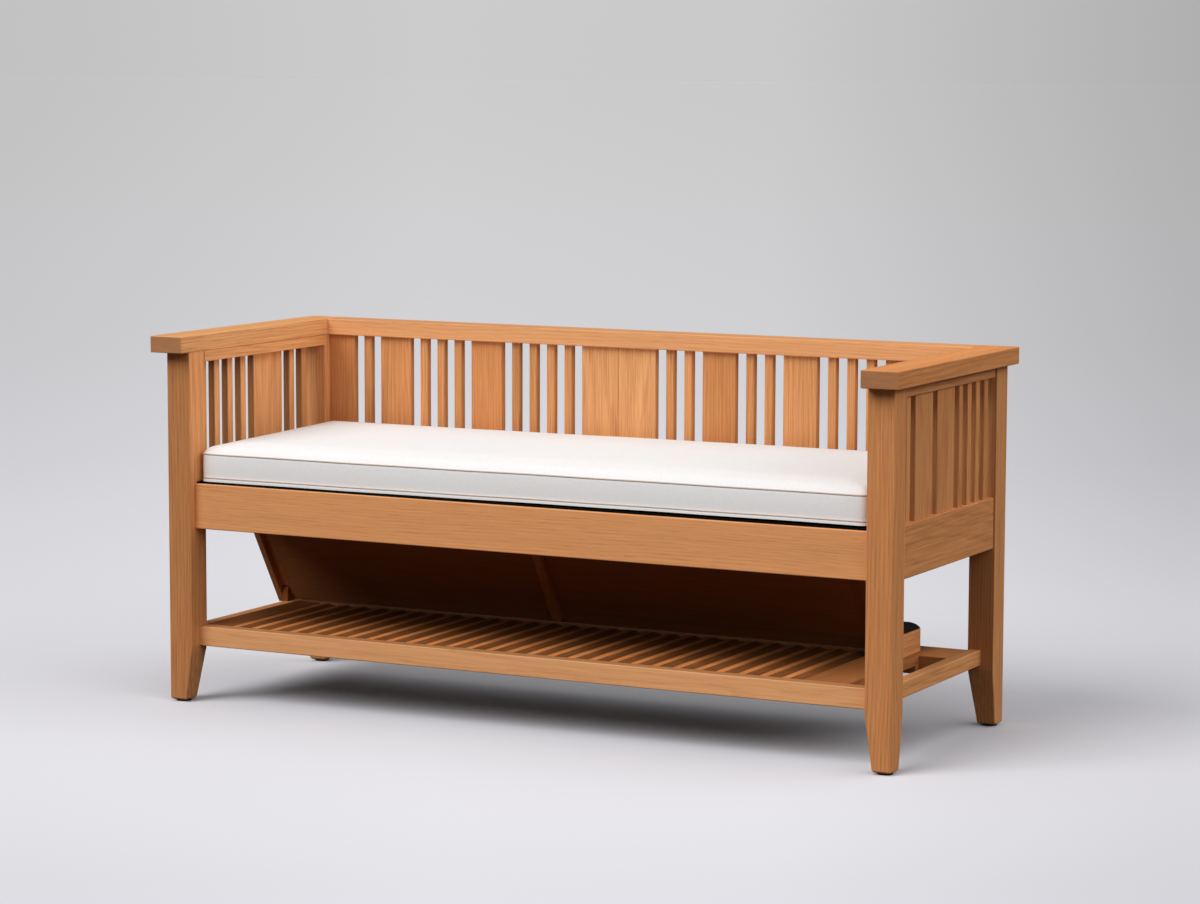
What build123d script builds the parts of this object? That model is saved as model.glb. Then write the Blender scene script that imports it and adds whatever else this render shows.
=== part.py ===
from build123d import *
import math
import os

# Mission settle in oak, with a slatted shelf, a hinged panel under the seat and a loose cushion.
# Millimetres. X runs along the length, -Y is the front, Z is up.
# The origin is on the floor, under the middle of the arms and of the back cap.

# Overall size, over the caps
length_over_arms = 1450.0
depth_over_arms = 547.0
height_over_arms = 668.0

# Posts, and how far the caps reach past them
post_width = 48.0
post_depth = 50.0
arm_overhang_side = 17.0
arm_overhang_front = 27.0
arm_overhang_rear = 10.0
foot_width = 34.0
foot_depth = 36.0
foot_ease = 3.0
edge_radius = 2.0

# Glides under the feet
glide_height = 3.5
glide_radius = 13.0
glide_nail_radius = 1.6
glide_nail_length = 16.0
glide_nail_clearance = 0.05

# Caps and the rails under the arms
cap_thickness = 30.0
cap_end_ease = 1.2
arm_cap_width = 67.0
back_cap_width = 53.0
arm_rail_width = 44.0
arm_rail_thickness = 20.0

# Seat rails
seat_rail_top = 400.0
seat_rail_height = 82.0
seat_rail_thickness = 24.0
seat_rail_setback = 14.0
side_rail_setback = 3.5
side_rail_rise = 8.0

# Joinery, and the number of sides of small round fasteners
round_sides = 10
mortise_clearance = 0.15
mortise_wall = 3.0
rail_tenon_length = 22.0
rail_tenon_shoulder = 7.0
post_tenon_size = 24.0
post_tenon_height = 15.0
slat_tenon_length = 10.0
slat_tenon_shoulder = 3.0

# Slats of the back and the sides
slat_thickness = 14.0
slat_ease = 1.2
back_slat_narrow = 16.0
back_slat_wide = 66.0
back_slat_centre = 76.0
back_slat_left_corner = 56.0
back_slat_right_corner = 45.0
side_slat_narrow = 18.0
side_slat_wide_left = 98.0
side_slat_wide_right = 76.0

# Slatted shelf
shelf_top = 138.0
shelf_rail_height = 36.0
shelf_rail_setback = 25.0
stretcher_height = 28.0
stretcher_thickness = 22.0
stretcher_setback = 24.0
shelf_back_rail_width = 94.0
shelf_back_rail_gap = 8.0
shelf_board_thickness = 16.0
shelf_slat_count = 28
shelf_slat_gap = 4.5
shelf_slot_width = 52.0
shelf_slat_ease = 1.2
shelf_slat_fall = 5.0
shelf_slat_flat_share = 0.42
shelf_end_left_width = 51.0
shelf_end_right_width = 82.0
ledger_width = 16.0
ledger_height = 14.0

# Seat board and what carries it
seat_board_thickness = 9.0
seat_board_proud = 3.0
seat_board_lip = 6.0
seat_board_clearance = 0.3
bearer_width = 42.0
bearer_height = 22.0
bearer_tenon_shoulder = 4.0
bearer_place_shares = (0.12, 0.373, 0.627, 0.88)
cleat_width = 16.0
cleat_height = 16.0
screw_length = 26.0
screw_radius = 2.0
screw_head_radius = 4.0
screw_head_height = 2.6
screw_clearance = 0.1
screw_inset = 70.0

# Hinged panel under the seat: it leans forward at rest and folds down on the shelf
panel_side_gap = 1.5
panel_end_setback = 116.0
panel_top_gap = 3.0
panel_tail = 15.0
panel_rest_angle = 31.5
panel_pivot_height = 19.0
panel_pivot_before = 2.1
panel_front = 5.5
panel_back = 9.0
panel_lip_proud = 11.0
panel_lip_width = 11.5
panel_lip_foot = 4.0
panel_stile_right_width = 34.0
panel_muntin_width = 17.0
panel_muntin_share = 0.484
panel_rail_width = 26.0
panel_board_thickness = 8.0
panel_tongue_thickness = 4.0
panel_tongue_length = 6.0
panel_board_clearance = 0.3

# Hinge pieces of the panel
pin_radius = 3.0
pin_fixed_clearance = 0.03
pin_running_clearance = 0.06
pin_depth = 24.0
cheek_thickness = 12.0
cheek_radius = 15.5
cheek_foot = 40.0
cheek_gap = 1.2
hinge_side_gap = 0.8
hinge_block_width = 48.0
hinge_block_depth = 92.0
hinge_block_height = 40.0
hinge_block_front = 44.9
hinge_pin_wall = 12.0
hinge_cover_inset = 1.5
hinge_cover_height = 21.5
hinge_cover_tail = 2.5
hinge_cover_radius = 200.0

# Cushion
cushion_side_gap = 8.0
cushion_front_setback = 26.0
cushion_rear_gap = 19.0
cushion_lift = 0.3
cushion_welt_low = 4.0
cushion_welt_high = 50.5
cushion_crown = 68.0
cushion_corner = 14.0
cushion_draw = 3.0
cushion_waist = 1.5
cushion_bottom_inset = 7.0
# Each level of the crown: its share of the rise over the upper seam, and how far in it lies, as a
# share of the cushion's depth
cushion_crown_shares = ((0.45, 0.012), (0.72, 0.04), (0.9, 0.12), (1.0, 0.3))

# Levels and faces that follow from the sizes above
x_out = length_over_arms / 2 - arm_overhang_side
x_in = x_out - post_width
y_front = arm_overhang_front - depth_over_arms / 2
y_front_in = y_front + post_depth
y_rear = depth_over_arms / 2 - arm_overhang_rear
y_rear_in = y_rear - post_depth
cap_bottom = height_over_arms - cap_thickness
arm_cap_in = length_over_arms / 2 - arm_cap_width
arm_rail_bottom = cap_bottom - arm_rail_thickness
seat_rail_bottom = seat_rail_top - seat_rail_height
side_rail_top = seat_rail_top + side_rail_rise
side_rail_out = x_out - side_rail_setback
side_rail_in = side_rail_out - seat_rail_thickness
front_rail_in = y_front + seat_rail_setback + seat_rail_thickness
rear_rail_out = y_rear - seat_rail_setback
rear_rail_in = rear_rail_out - seat_rail_thickness
shelf_rail_bottom = shelf_top - shelf_rail_height
stretcher_out = x_out - stretcher_setback
stretcher_in = stretcher_out - stretcher_thickness
deck_rear = y_rear_in - shelf_back_rail_gap - shelf_back_rail_width
deck_bottom = shelf_top - shelf_board_thickness
board_top = seat_rail_top + seat_board_proud
board_bottom = board_top - seat_board_thickness
slat_tenon_thickness = slat_thickness - 2 * slat_tenon_shoulder
bearer_tenon_length = (seat_rail_thickness - slat_tenon_thickness) / 2 - mortise_wall
rail_tenon_thickness = seat_rail_thickness - 2 * rail_tenon_shoulder
back_slat_front = (rear_rail_in + rear_rail_out - slat_thickness) / 2
cushion_low_y = y_front + cushion_front_setback
cushion_high_y = back_slat_front - cushion_rear_gap
cushion_depth = cushion_high_y - cushion_low_y
shelf_ends_width = shelf_end_left_width + shelf_end_right_width + shelf_slot_width
shelf_gaps_width = (shelf_slat_count + 1) * shelf_slat_gap
shelf_slat_width = (2 * stretcher_in - shelf_ends_width - shelf_gaps_width) / shelf_slat_count


def block(low, high):
    """A box between two opposite corners."""
    size = [b - a for a, b in zip(low, high)]
    return Pos(*low) * Box(*size, align=(Align.MIN, Align.MIN, Align.MIN))


def mortise(box):
    """The hole for a tenon, larger than it by the joinery clearance on every side."""
    low, high = box
    return block([a - mortise_clearance for a in low], [b + mortise_clearance for b in high])


def eased(board, axis, radius):
    """A board with its four long edges rounded."""
    return fillet(board.edges().filter_by(axis), radius)


def broken(board, axis, size):
    """A board with its four long edges broken by a small flat."""
    return chamfer(board.edges().filter_by(axis), size)


def swapped(box):
    """The same box on the other end of the settle."""
    low, high = box
    return (-high[0], low[1], low[2]), (-low[0], high[1], high[2])


def other_end(solid):
    return mirror(solid, about=Plane.YZ)


# Tenons, as pairs of opposite corners. Those on one end are for the left end, at -X.
def along_x_tenon(y_low, y_high, z_low, z_high, length, shoulder):
    """A tenon on the left end of a rail that runs from post to post."""
    middle = (y_low + y_high) / 2
    half = rail_tenon_thickness / 2
    low = (-x_in - length, middle - half, z_low + shoulder)
    return low, (-x_in, middle + half, z_high - shoulder)


def along_y_tenons(x_low, x_high, z_low, z_high, length, shoulder):
    """The front and the rear tenon of a rail that runs between the posts of one end."""
    middle = (x_low + x_high) / 2
    half = rail_tenon_thickness / 2
    low, high = z_low + shoulder, z_high - shoulder
    front = (middle - half, y_front_in - length, low), (middle + half, y_front_in, high)
    rear = (middle - half, y_rear_in, low), (middle + half, y_rear_in + length, high)
    return front, rear


def seat_front_tenon():
    y = y_front + seat_rail_setback
    return along_x_tenon(
        y, front_rail_in, seat_rail_bottom, board_bottom, rail_tenon_length, rail_tenon_shoulder
    )


def seat_rear_tenon():
    y = rear_rail_out
    return along_x_tenon(
        rear_rail_in, y, seat_rail_bottom, board_bottom, rail_tenon_length, rail_tenon_shoulder
    )


def seat_side_tenons():
    return along_y_tenons(
        -side_rail_out, -side_rail_in, seat_rail_bottom, side_rail_top,
        rail_tenon_length, rail_tenon_shoulder,
    )


def stretcher_tenons():
    shoulder = rail_tenon_shoulder
    return along_y_tenons(
        -stretcher_out, -stretcher_in, shelf_top - stretcher_height, shelf_top,
        rail_tenon_length, shoulder,
    )


def shelf_front_tenon():
    clear = stretcher_setback + (stretcher_thickness + rail_tenon_thickness) / 2
    length = post_width - clear - mortise_wall
    return along_x_tenon(
        y_front + shelf_rail_setback, y_front_in, shelf_rail_bottom, shelf_top,
        length, rail_tenon_shoulder,
    )


def arm_rail_tenons():
    middle = -x_in - arm_rail_width / 2
    half = post_tenon_size / 2
    level = arm_rail_bottom + arm_rail_thickness / 2
    thick = rail_tenon_thickness / 2
    front = (middle - half, y_front_in - rail_tenon_length, level - thick)
    rear = (middle - half, y_rear_in, level - thick)
    front_end = (middle + half, y_front_in, level + thick)
    rear_end = (middle + half, y_rear_in + rail_tenon_length, level + thick)
    return (front, front_end), (rear, rear_end)


def post_tenon(y_middle):
    """The stub on top of a left post, which goes up into the arm cap."""
    half = post_tenon_size / 2
    middle = -(x_out + x_in) / 2
    low = (middle - half, y_middle - half, cap_bottom)
    return low, (middle + half, y_middle + half, cap_bottom + post_tenon_height)


def back_cap_tenon():
    """The stub on the left end of the back cap, which stops short of the post's stub."""
    stub_in = (x_out + x_in) / 2 - post_tenon_size / 2
    length = stub_in - arm_cap_in - mortise_wall
    y_middle = (depth_over_arms - back_cap_width) / 2
    half = post_tenon_size / 2
    level = height_over_arms - cap_thickness / 2
    thick = rail_tenon_thickness / 2
    low = (-arm_cap_in - length, y_middle - half, level - thick)
    return low, (-arm_cap_in, y_middle + half, level + thick)


# Posts
def leg(rear):
    """A left post: square above the shelf, tapered on its two inner faces down to the foot."""
    foot_bottom = glide_height
    levels = (
        (foot_bottom, foot_width - 2 * foot_ease, foot_depth - 2 * foot_ease, foot_ease),
        (foot_bottom + foot_ease, foot_width, foot_depth, 0),
        (shelf_rail_bottom, post_width, post_depth, 0),
        (cap_bottom, post_width, post_depth, 0),
    )
    sections = []
    for z, wide, deep, inset in levels:
        place = Pos(wide / 2 + inset, deep / 2 + inset, z)
        sections.append(place * RectangleRounded(wide, deep, edge_radius))
    shape = loft(sections, ruled=True)
    if rear:
        return Pos(-x_out, y_rear, 0) * mirror(shape, about=Plane.XZ)
    return Pos(-x_out, y_front, 0) * shape


def glide_place(rear):
    x = -x_out + foot_width / 2
    if rear:
        return Pos(x, y_rear - foot_depth / 2, 0)
    return Pos(x, y_front + foot_depth / 2, 0)


def post_front_left():
    shape = leg(False) + block(*post_tenon((y_front + y_front_in) / 2))
    tenons = [seat_front_tenon(), seat_side_tenons()[0], stretcher_tenons()[0]]
    tenons += [shelf_front_tenon(), arm_rail_tenons()[0]]
    for tenon in tenons:
        shape -= mortise(tenon)
    return shape - glide_place(False) * nail_hole()


def post_rear_left():
    shape = leg(True) + block(*post_tenon((y_rear + y_rear_in) / 2))
    tenons = [seat_rear_tenon(), seat_side_tenons()[1], stretcher_tenons()[1], arm_rail_tenons()[1]]
    for tenon in tenons:
        shape -= mortise(tenon)
    return shape - glide_place(True) * nail_hole()


def nail_hole():
    nail = RegularPolygon(glide_nail_radius + glide_nail_clearance, round_sides)
    return extrude(nail, glide_nail_length + glide_height)


def foot_glide():
    """A round nylon glide with its nail."""
    base = (Align.CENTER, Align.CENTER, Align.MIN)
    disc = Cylinder(glide_radius, glide_height, align=base)
    length = glide_height + glide_nail_length - mortise_wall
    return disc + extrude(RegularPolygon(glide_nail_radius, round_sides), length)


def foot_glides():
    left = [glide_place(rear) * foot_glide() for rear in (False, True)]
    return left + [other_end(g) for g in left]


# Caps
def arm_cap_left():
    y_half = depth_over_arms / 2
    low = (-length_over_arms / 2, -y_half, cap_bottom)
    board = block(low, (-arm_cap_in, y_half, height_over_arms))
    board = eased(board, Axis.Y, edge_radius)
    ends = board.faces().sort_by(Axis.Y)
    board = chamfer(ends[0].edges() + ends[-1].edges(), cap_end_ease)
    board -= mortise(post_tenon((y_front + y_front_in) / 2))
    board -= mortise(post_tenon((y_rear + y_rear_in) / 2))
    return board - mortise(back_cap_tenon())


def back_cap():
    y_half = depth_over_arms / 2
    low = (-arm_cap_in, y_half - back_cap_width, cap_bottom)
    board = eased(block(low, (arm_cap_in, y_half, height_over_arms)), Axis.X, edge_radius)
    board += block(*back_cap_tenon())
    board += block(*swapped(back_cap_tenon()))
    for tenon in back_slat_tenons(cap_bottom, cap_bottom + slat_tenon_length):
        board -= mortise(tenon)
    return board


def arm_rail(tenons):
    low = (-x_in - arm_rail_width, y_front_in, arm_rail_bottom)
    board = broken(block(low, (-x_in, y_rear_in, cap_bottom)), Axis.Y, slat_ease)
    for tenon in arm_rail_tenons():
        board += block(*tenon)
    for tenon in tenons:
        board -= mortise(tenon)
    return board


# Seat rails
def seat_rail_front():
    low = (-x_in, y_front + seat_rail_setback, seat_rail_bottom)
    board = eased(block(low, (x_in, front_rail_in, seat_rail_top)), Axis.X, edge_radius)
    board += block(*seat_front_tenon()) + block(*swapped(seat_front_tenon()))
    lip = y_front + seat_rail_setback + seat_board_lip
    board -= block((-x_in, lip, board_bottom), (x_in, front_rail_in, board_top))
    for front, rear in bearer_tenons():
        board -= mortise(front)
    return board


def seat_rail_rear():
    low = (-x_in, rear_rail_in, seat_rail_bottom)
    board = eased(block(low, (x_in, rear_rail_out, seat_rail_top)), Axis.X, edge_radius)
    board += block(*seat_rear_tenon()) + block(*swapped(seat_rear_tenon()))
    for tenon in back_slat_tenons(seat_rail_top - slat_tenon_length, seat_rail_top):
        board -= mortise(tenon)
    for front, rear in bearer_tenons():
        board -= mortise(rear)
    return board


def seat_rail_side(tenons):
    low = (-side_rail_out, y_front_in, seat_rail_bottom)
    board = eased(block(low, (-side_rail_in, y_rear_in, side_rail_top)), Axis.Y, edge_radius)
    for tenon in seat_side_tenons():
        board += block(*tenon)
    for tenon in tenons:
        board -= mortise(tenon)
    return board


# Back slats, from the left post to the right one: N is narrow, W wide, C the touching centre pair
back_pattern = "L N W NNN W NNNN C C NN W NN W NNN W N R"
back_widths = {
    "N": back_slat_narrow,
    "W": back_slat_wide,
    "C": back_slat_centre,
    "L": back_slat_left_corner,
    "R": back_slat_right_corner,
}
left_pattern = "NNNNWNN"
right_pattern = "NWWNNNN"


def back_slats():
    """Each back slat as its letter, the run of slats that it is in, its start and its width."""
    runs = back_pattern.split()
    letters = [(letter, run) for run, letters_in in enumerate(runs) for letter in letters_in]
    used = sum(back_widths[letter] for letter, run in letters)
    touching = 1
    gap = (2 * x_in - used) / (len(letters) - 1 - touching)
    x = -x_in
    slats = []
    for i, (letter, run) in enumerate(letters):
        slats.append((letter, run, x, back_widths[letter]))
        x += back_widths[letter]
        if letter + letters[min(i + 1, len(letters) - 1)][0] != "CC":
            x += gap
    return slats


def back_slat_tenon(x, width, z_low, z_high):
    middle = (rear_rail_in + rear_rail_out) / 2
    low = (x + slat_tenon_shoulder, middle - slat_tenon_thickness / 2, z_low)
    return low, (x + width - slat_tenon_shoulder, middle + slat_tenon_thickness / 2, z_high)


def back_slat_tenons(z_low, z_high):
    return [back_slat_tenon(x, width, z_low, z_high) for letter, run, x, width in back_slats()]


def back_slat(x, width):
    middle = (rear_rail_in + rear_rail_out) / 2
    low = (x, middle - slat_thickness / 2, seat_rail_top)
    board = block(low, (x + width, middle + slat_thickness / 2, cap_bottom))
    board = broken(board, Axis.Z, slat_ease)
    board += block(*back_slat_tenon(x, width, seat_rail_top - slat_tenon_length, seat_rail_top))
    return board + block(*back_slat_tenon(x, width, cap_bottom, cap_bottom + slat_tenon_length))


# Side slats, from the front to the rear
def side_slats(pattern, wide):
    widths = [wide if letter == "W" else side_slat_narrow for letter in pattern]
    gap = (y_rear_in - y_front_in - sum(widths)) / (len(widths) + 1)
    y = y_front_in
    slats = []
    for letter, width in zip(pattern, widths):
        y += gap
        slats.append((letter, y, width))
        y += width
    return slats


def side_slat_tenon(y, width, z_low, z_high):
    middle = -(side_rail_out + side_rail_in) / 2
    low = (middle - slat_tenon_thickness / 2, y + slat_tenon_shoulder, z_low)
    return low, (middle + slat_tenon_thickness / 2, y + width - slat_tenon_shoulder, z_high)


def side_slat_tenons(slats, z_low, z_high):
    return [side_slat_tenon(y, width, z_low, z_high) for letter, y, width in slats]


def side_slat(y, width):
    """A slat of the left side."""
    middle = -(side_rail_out + side_rail_in) / 2
    low = (middle - slat_thickness / 2, y, side_rail_top)
    board = block(low, (middle + slat_thickness / 2, y + width, arm_rail_bottom))
    board = broken(board, Axis.Z, slat_ease)
    board += block(*side_slat_tenon(y, width, side_rail_top - slat_tenon_length, side_rail_top))
    top = arm_rail_bottom + slat_tenon_length
    return board + block(*side_slat_tenon(y, width, arm_rail_bottom, top))


def side_parts(slats):
    """The arm rail, the seat rail and the slats of one end, built on the left."""
    top = side_slat_tenons(slats, arm_rail_bottom, arm_rail_bottom + slat_tenon_length)
    foot = side_slat_tenons(slats, side_rail_top - slat_tenon_length, side_rail_top)
    narrow = [side_slat(y, width) for letter, y, width in slats if letter == "N"]
    wide = [side_slat(y, width) for letter, y, width in slats if letter == "W"]
    return arm_rail(top), seat_rail_side(foot), narrow, wide


# Shelf
def shelf_rail_front():
    low = (-x_in, y_front + shelf_rail_setback, shelf_rail_bottom)
    board = eased(block(low, (x_in, y_front_in, shelf_top)), Axis.X, edge_radius)
    return board + block(*shelf_front_tenon()) + block(*swapped(shelf_front_tenon()))


def shelf_back_tenon():
    """The stub on the left end of the rear shelf rail, which goes into the stretcher."""
    level = shelf_top - stretcher_height / 2
    half = rail_tenon_thickness / 2
    length = stretcher_thickness / 2
    y_high = deck_rear + shelf_back_rail_width
    low = (-stretcher_in - length, deck_rear + rail_tenon_shoulder, level - half)
    return low, (-stretcher_in, y_high - rail_tenon_shoulder, level + half)


def shelf_rail_rear():
    low = (-stretcher_in, deck_rear, shelf_top - stretcher_height)
    high = (stretcher_in, deck_rear + shelf_back_rail_width, shelf_top)
    board = eased(block(low, high), Axis.X, edge_radius)
    return board + block(*shelf_back_tenon()) + block(*swapped(shelf_back_tenon()))


def shelf_stretcher_left():
    low = (-stretcher_out, y_front_in, shelf_top - stretcher_height)
    board = eased(block(low, (-stretcher_in, y_rear_in, shelf_top)), Axis.Y, edge_radius)
    for tenon in stretcher_tenons():
        board += block(*tenon)
    return board - mortise(shelf_back_tenon())


def deck_board(x, width):
    """A board of the shelf that runs from the front rail to the rear rail."""
    board = block((x, y_front_in, deck_bottom), (x + width, deck_rear, shelf_top))
    top_edges = board.edges().filter_by(Axis.Y).group_by(Axis.Z)[-1]
    return chamfer(top_edges, shelf_slat_ease)


def shelf_slat(x):
    """A slat whose top is flat at the left and falls away to the right."""
    board = block((x, y_front_in, deck_bottom), (x + shelf_slat_width, deck_rear, shelf_top))
    right = board.faces().sort_by(Axis.X)[-1]
    left_edge, right_edge = board.edges().filter_by(Axis.Y).group_by(Axis.Z)[-1].sort_by(Axis.X)
    run = (1 - shelf_slat_flat_share) * shelf_slat_width
    board = chamfer(right_edge, shelf_slat_fall, run, reference=right)
    left_edge = board.edges().filter_by(Axis.Y).group_by(Axis.Z)[-1].sort_by(Axis.X)[0]
    return chamfer(left_edge, shelf_slat_ease)


def shelf_slats():
    x = -stretcher_in + shelf_end_left_width + shelf_slat_gap
    slats = []
    for i in range(shelf_slat_count):
        slats.append(shelf_slat(x))
        x += shelf_slat_width + shelf_slat_gap
    return slats


def shelf_end_board_left():
    return deck_board(-stretcher_in, shelf_end_left_width)


def right_end_start():
    return stretcher_in - shelf_slot_width - shelf_end_right_width


def shelf_end_board_right():
    return deck_board(right_end_start(), shelf_end_right_width)


def shelf_ledger(y):
    """A strip under the ends of the shelf boards, which stops before the slot."""
    low = (-stretcher_in, y, deck_bottom - ledger_height)
    x_high = right_end_start() + shelf_end_right_width
    return block(low, (x_high, y + ledger_width, deck_bottom))


# Seat board, its bearers and its screws
def bearer_starts():
    """The left faces of the bearers."""
    return [2 * x_in * share - x_in - bearer_width / 2 for share in bearer_place_shares]


def bearer_tenons():
    pairs = []
    low = board_bottom - bearer_height + bearer_tenon_shoulder
    high = board_bottom - bearer_tenon_shoulder
    for x in bearer_starts():
        start = x + bearer_tenon_shoulder
        end = x + bearer_width - bearer_tenon_shoulder
        front = (start, front_rail_in - bearer_tenon_length, low), (end, front_rail_in, high)
        rear = (start, rear_rail_in, low), (end, rear_rail_in + bearer_tenon_length, high)
        pairs.append((front, rear))
    return pairs


def screw_places():
    """Where the seat board is screwed to its bearers, at the top of the board."""
    places = []
    for x in bearer_starts():
        for y in (front_rail_in + screw_inset, rear_rail_in - screw_inset):
            places.append(Pos(x + bearer_width / 2, y, board_top))
    return places


def screw_shape(clearance):
    """A countersunk screw, its head flush with the top, or the hole for one, faceted to stay light."""
    shank = RegularPolygon(screw_radius + clearance, round_sides)
    head = RegularPolygon(screw_head_radius + clearance, round_sides)
    cone = loft([Pos(0, 0, -screw_head_height) * shank, head], ruled=True)
    return cone + extrude(shank, -screw_length - clearance)


def seat_bearers():
    bearers = []
    for x, (front, rear) in zip(bearer_starts(), bearer_tenons()):
        low = (x, front_rail_in, board_bottom - bearer_height)
        bearer = block(low, (x + bearer_width, rear_rail_in, board_bottom))
        bearer += block(*front) + block(*rear)
        for place in screw_places():
            if x < place.position.X < x + bearer_width:
                bearer -= place * screw_shape(screw_clearance)
        bearers.append(bearer)
    return bearers


def seat_board():
    """The black board under the cushion, notched round the four posts."""
    gap = seat_board_clearance
    y_low = y_front + seat_rail_setback + seat_board_lip + gap
    y_high = rear_rail_in - gap
    board = block(
        (gap - side_rail_in, y_low, board_bottom), (side_rail_in - gap, y_high, board_top)
    )
    x_notch = x_in - gap
    for x_low, x_high in ((-x_out, -x_notch), (x_notch, x_out)):
        board -= block((x_low, y_low - gap, board_bottom), (x_high, y_front_in + gap, board_top))
        board -= block((x_low, y_rear_in - gap, board_bottom), (x_high, y_high + gap, board_top))
    for place in screw_places():
        board -= place * screw_shape(screw_clearance)
    return board


def seat_screws():
    return [place * screw_shape(0) for place in screw_places()]


def seat_cleat_left():
    """The strip on the side rail that carries the end of the seat board."""
    low = (-side_rail_in, y_front_in + mortise_wall, board_bottom - cleat_height)
    return block(low, (cleat_width - side_rail_in, y_rear_in - mortise_wall, board_bottom))


# Hinged panel, drawn standing up with its pivot on the X axis, then leaned forward
panel_x = -stretcher_out - panel_side_gap - panel_lip_width
panel_end = stretcher_in - panel_end_setback
panel_length = panel_end - panel_x
pivot_y = deck_rear - panel_pivot_before
pivot_z = shelf_top + panel_pivot_height
lip_front = panel_front + panel_lip_proud
lean = math.radians(panel_rest_angle)
panel_room = seat_rail_bottom - panel_top_gap - pivot_z - panel_back * math.sin(lean)
panel_rise = panel_room / math.cos(lean)
panel_stile_left_width = panel_lip_width + panel_side_gap + cheek_thickness + hinge_side_gap
muntin_x = panel_x + panel_length * panel_muntin_share - panel_muntin_width / 2
tongue_back = panel_board_thickness - panel_front
tongue_front = tongue_back - panel_tongue_thickness


def leaned(shape):
    return Pos(0, pivot_y, pivot_z) * Rot(panel_rest_angle, 0, 0) * shape


def panel_piece(x_low, x_high, z_low, z_high):
    return block((x_low, -panel_front, z_low), (x_high, panel_back, z_high))


def lip(x_low, x_high, z_low):
    """The raised strip on the front of a stile or of the muntin."""
    return block((x_low, -lip_front, z_low), (x_high, -panel_front, panel_rise))


def board_levels():
    """The upper edge of the bottom rail and the lower edge of the top rail."""
    return panel_rail_width - panel_tail, panel_rise - panel_rail_width


def tongues(x_low, x_high, clearance):
    """The thin sheet that a board's tongues make up, or the room for it in the frame."""
    reach = panel_tongue_length + clearance - panel_board_clearance
    z_low, z_high = board_levels()
    low = (x_low - reach, tongue_front - clearance / 2, z_low - reach)
    return block(low, (x_high + reach, tongue_back + clearance / 2, z_high + reach))


def bay_left():
    return panel_x + panel_stile_left_width, muntin_x


def bay_right():
    return muntin_x + panel_muntin_width, panel_end - panel_stile_right_width


def grooves():
    clear = panel_board_clearance
    return tongues(*bay_left(), clear) + tongues(*bay_right(), clear)


def pin_hole(x_low, x_high, clearance):
    length = x_high - x_low
    hole = Cylinder(pin_radius + clearance, length, align=(Align.CENTER, Align.CENTER, Align.MIN))
    return Pos(x_low, 0, 0) * Rot(0, 90, 0) * hole


def cheek_room():
    """The room that the foot of the left stile leaves for the cheek, which stands on the stretcher."""
    low = (panel_x + panel_lip_width, -lip_front, -panel_tail)
    return block(low, (bay_left()[0], panel_back, cheek_radius + cheek_gap))


def left_pin(clearance):
    return pin_hole(panel_x, bay_left()[0] + pin_depth, clearance)


def panel_stile_left():
    """The left stile, with its raised lip, cut away at the foot to clear the cheek."""
    shape = panel_piece(panel_x, bay_left()[0], -panel_tail, panel_rise)
    shape += lip(panel_x, panel_x + panel_lip_width, -panel_tail)
    return leaned(shape - cheek_room() - left_pin(pin_fixed_clearance) - grooves())


def panel_stile_right():
    shape = panel_piece(bay_right()[1], panel_end, -panel_tail, panel_rise)
    shape += lip(panel_end - panel_lip_width, panel_end, -panel_lip_foot)
    shape -= pin_hole(panel_end - pin_depth, panel_end, pin_fixed_clearance)
    return leaned(shape - grooves())


def panel_muntin():
    x_high = muntin_x + panel_muntin_width
    shape = panel_piece(muntin_x, x_high, *board_levels())
    return leaned(shape + lip(muntin_x, x_high, -panel_lip_foot) - grooves())


def panel_rail(z_low):
    """The top or the bottom rail, between the stiles."""
    shape = panel_piece(bay_left()[0], bay_right()[1], z_low, z_low + panel_rail_width)
    return leaned(shape - grooves() - left_pin(pin_fixed_clearance))


def panel_board(bay):
    """A board flush with the front of the frame, its tongues in the grooves."""
    clear = panel_board_clearance
    z_low, z_high = board_levels()
    low = (bay[0] + clear, -panel_front, z_low + clear)
    face = block(low, (bay[1] - clear, tongue_back, z_high - clear))
    return leaned(face + tongues(*bay, 0) - cheek_room())


# Hinge pieces
def hinge_cheek_left():
    """The left ear: upright at the front, round over the pin, sloped down behind."""
    r = cheek_radius
    with BuildSketch(Plane.YZ.offset(-stretcher_out)) as profile:
        with BuildLine():
            start = (pivot_y - r, shelf_top)
            shoulder = (pivot_y - r, pivot_z)
            fall = math.atan2(panel_pivot_height, cheek_foot - r)
            side = (pivot_y + r * math.sin(fall), pivot_z + r * math.cos(fall))
            between = fall / 2 - math.pi / 4
            knee = (pivot_y + r * math.sin(between), pivot_z + r * math.cos(between))
            Line(start, shoulder)
            ThreePointArc(shoulder, knee, side)
            drop = side[1] - shelf_top
            heel = (side[0] + drop / math.tan(fall), shelf_top)
            Line(side, heel)
            Line(heel, start)
        make_face()
    ear = extrude(profile.sketch, cheek_thickness)
    return ear - Pos(0, pivot_y, pivot_z) * left_pin(pin_running_clearance)


def block_x():
    return panel_end + hinge_side_gap


def hinge_block_right():
    """The oak block on the shelf that holds the friction hinge."""
    y = pivot_y - hinge_block_front
    high = (block_x() + hinge_block_width, y + hinge_block_depth, shelf_top + hinge_block_height)
    shape = block((block_x(), y, shelf_top), high)
    shape = eased(shape, Axis.Z, edge_radius)
    depth = hinge_block_width - hinge_pin_wall
    bore = pin_hole(block_x(), block_x() + depth, pin_running_clearance)
    return shape - Pos(0, pivot_y, pivot_z) * bore


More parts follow.
